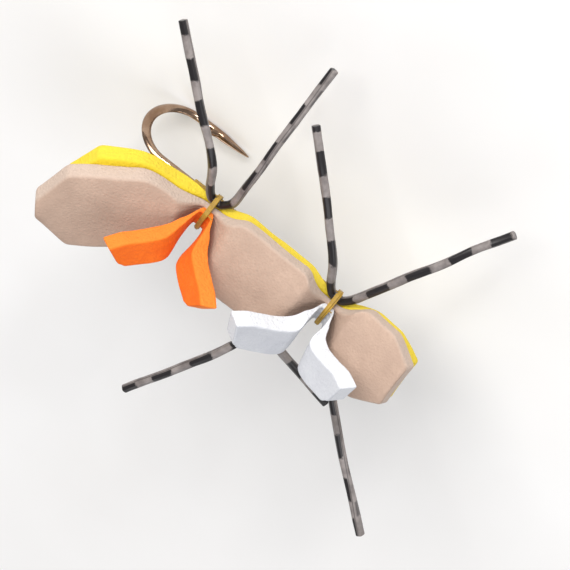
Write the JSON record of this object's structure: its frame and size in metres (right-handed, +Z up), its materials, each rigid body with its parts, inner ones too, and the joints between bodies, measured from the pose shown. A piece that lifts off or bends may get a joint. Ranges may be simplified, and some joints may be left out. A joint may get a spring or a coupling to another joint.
{
  "type": "foam hopper dry fly",
  "caption": "Foam-bodied hopper dry fly: layered foam back and belly lashed to a long-shank barbed hook, folded foam sight tabs and splayed barred rubber legs.",
  "frame": {"origin": "centre of the hook's eye", "axes": "+X forward along the hook's shank, the way the tippet leaves the eye; +Y the fly's port side; +Z up, the back of the fly, with the hook's bend hanging below"},
  "size_m": [0.0458, 0.042, 0.0207],
  "materials": {
    "hook_metal": "gloss",
    "foam_tan": "matte",
    "foam_yellow": "matte",
    "foam_orange": "matte",
    "foam_white": "matte",
    "tying_thread": "satin",
    "head_cement": "gloss",
    "leg_silicone": "satin"
  },
  "bodies": {
    "root": {"hook": "hook_metal", "shank_thread_base": "tying_thread", "whip_finish": "head_cement", "belly_foam": "foam_yellow", "back_foam": "foam_tan", "rear_indicator_tab": "foam_orange", "front_indicator_tab": "foam_white", "rear_thread_band": "tying_thread", "front_thread_band": "tying_thread", "rear_port_leg_root": "leg_silicone", "rear_starboard_leg_root": "leg_silicone", "front_port_leg_root": "leg_silicone", "front_starboard_leg_root": "leg_silicone"},
    "rear_port_back_leg": {"rear_port_back_leg": "leg_silicone"},
    "rear_port_front_leg": {"rear_port_front_leg": "leg_silicone"},
    "rear_starboard_back_leg": {"rear_starboard_back_leg": "leg_silicone"},
    "rear_starboard_front_leg": {"rear_starboard_front_leg": "leg_silicone"},
    "front_port_back_leg": {"front_port_back_leg": "leg_silicone"},
    "front_port_front_leg": {"front_port_front_leg": "leg_silicone"},
    "front_starboard_back_leg": {"front_starboard_back_leg": "leg_silicone"},
    "front_starboard_front_leg": {"front_starboard_front_leg": "leg_silicone"}
  },
  "joints": [
    {"name": "rear_port_back_leg_flex", "type": "hinge", "parent": "root", "child": "rear_port_back_leg", "pos_m": [-0.01865, 0.00278, 0.00141], "axis": [0.719, 0.695, 0], "range_deg": [-25, 20], "stiffness_Nm_per_rad": 0.0001},
    {"name": "rear_port_front_leg_flex", "type": "hinge", "parent": "root", "child": "rear_port_front_leg", "pos_m": [-0.01595, 0.00278, 0.00141], "axis": [1, 0.0059, 0], "range_deg": [-25, 20], "stiffness_Nm_per_rad": 0.0001},
    {"name": "rear_starboard_back_leg_flex", "type": "hinge", "parent": "root", "child": "rear_starboard_back_leg", "pos_m": [-0.01865, -0.00278, 0.00141], "axis": [-0.669, 0.7433, 0], "range_deg": [-25, 15], "stiffness_Nm_per_rad": 0.0001},
    {"name": "rear_starboard_front_leg_flex", "type": "hinge", "parent": "root", "child": "rear_starboard_front_leg", "pos_m": [-0.01595, -0.00278, 0.00141], "axis": [-0.4527, -0.8916, 0], "range_deg": [-20, 3], "stiffness_Nm_per_rad": 0.0001},
    {"name": "front_port_back_leg_flex", "type": "hinge", "parent": "root", "child": "front_port_back_leg", "pos_m": [-0.00385, 0.00278, 0.00141], "axis": [0.7557, 0.6549, 0], "range_deg": [-25, 20], "stiffness_Nm_per_rad": 0.0001},
    {"name": "front_port_front_leg_flex", "type": "hinge", "parent": "root", "child": "front_port_front_leg", "pos_m": [-0.00115, 0.00278, 0.00141], "axis": [0.8922, -0.4517, 0], "range_deg": [-25, 20], "stiffness_Nm_per_rad": 0.0001},
    {"name": "front_starboard_back_leg_flex", "type": "hinge", "parent": "root", "child": "front_starboard_back_leg", "pos_m": [-0.00385, -0.00278, 0.00141], "axis": [-0.8963, 0.4434, 0], "range_deg": [-8, 15], "stiffness_Nm_per_rad": 0.0001},
    {"name": "front_starboard_front_leg_flex", "type": "hinge", "parent": "root", "child": "front_starboard_front_leg", "pos_m": [-0.00115, -0.00278, 0.00141], "axis": [-0.7162, -0.6979, 0], "range_deg": [-25, 15], "stiffness_Nm_per_rad": 0.0001}
  ]
}
